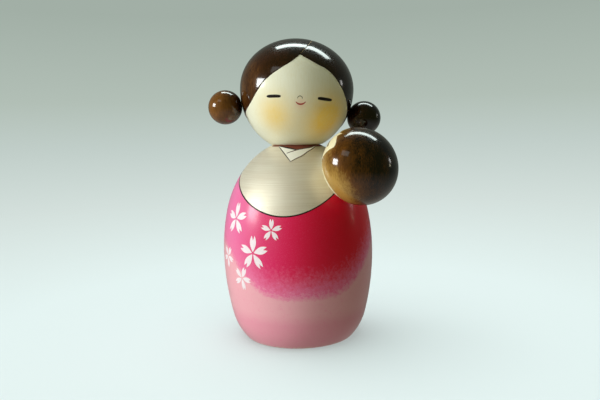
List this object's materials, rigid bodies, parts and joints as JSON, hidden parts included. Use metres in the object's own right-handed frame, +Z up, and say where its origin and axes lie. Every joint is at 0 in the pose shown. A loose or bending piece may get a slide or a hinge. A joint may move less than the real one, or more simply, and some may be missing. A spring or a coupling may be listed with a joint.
{
  "type": "kokeshi doll",
  "caption": "Turned and painted wooden doll: barrel body, egg-shaped head with two hair buns, and a baby's head pegged on one shoulder; both heads turn.",
  "frame": {"origin": "centre of the flat base, on the body's turning axis", "axes": "+Z up along the body's axis, -Y towards the front of the body, +X towards the doll's left, where the baby's head is"},
  "size_m": [0.0945, 0.0826, 0.15],
  "materials": {
    "painted_body": "crimson and pearl paint on turned wood under gloss lacquer",
    "painted_head": "cream face and dark hair paint on turned wood under gloss lacquer",
    "hair_lacquer": "dark brown streaked stain under gloss lacquer",
    "baby_lacquer": "golden to dark brown streaked stain under gloss lacquer, cream face",
    "bare_wood": "bare turned wood"
  },
  "bodies": {
    "torso": {"body": "painted_body"},
    "mother_head": {"head": "painted_head", "neck_dowel": "bare_wood", "left_bun": "hair_lacquer", "right_bun": "hair_lacquer", "left_bun_dowel": "bare_wood", "right_bun_dowel": "bare_wood"},
    "baby": {"baby_head": "baby_lacquer", "baby_dowel": "bare_wood"}
  },
  "joints": [
    {"name": "head_turn", "type": "hinge", "parent": "torso", "child": "mother_head", "pos_m": [0, 0, 0.0975], "axis": [0, 0, 1], "range_deg": [-30, 285]},
    {"name": "baby_head_turn", "type": "hinge", "parent": "torso", "child": "baby", "pos_m": [0.03464, -0.02667, 0.08762], "axis": [0.6909, -0.5321, 0.4894], "continuous": true}
  ]
}
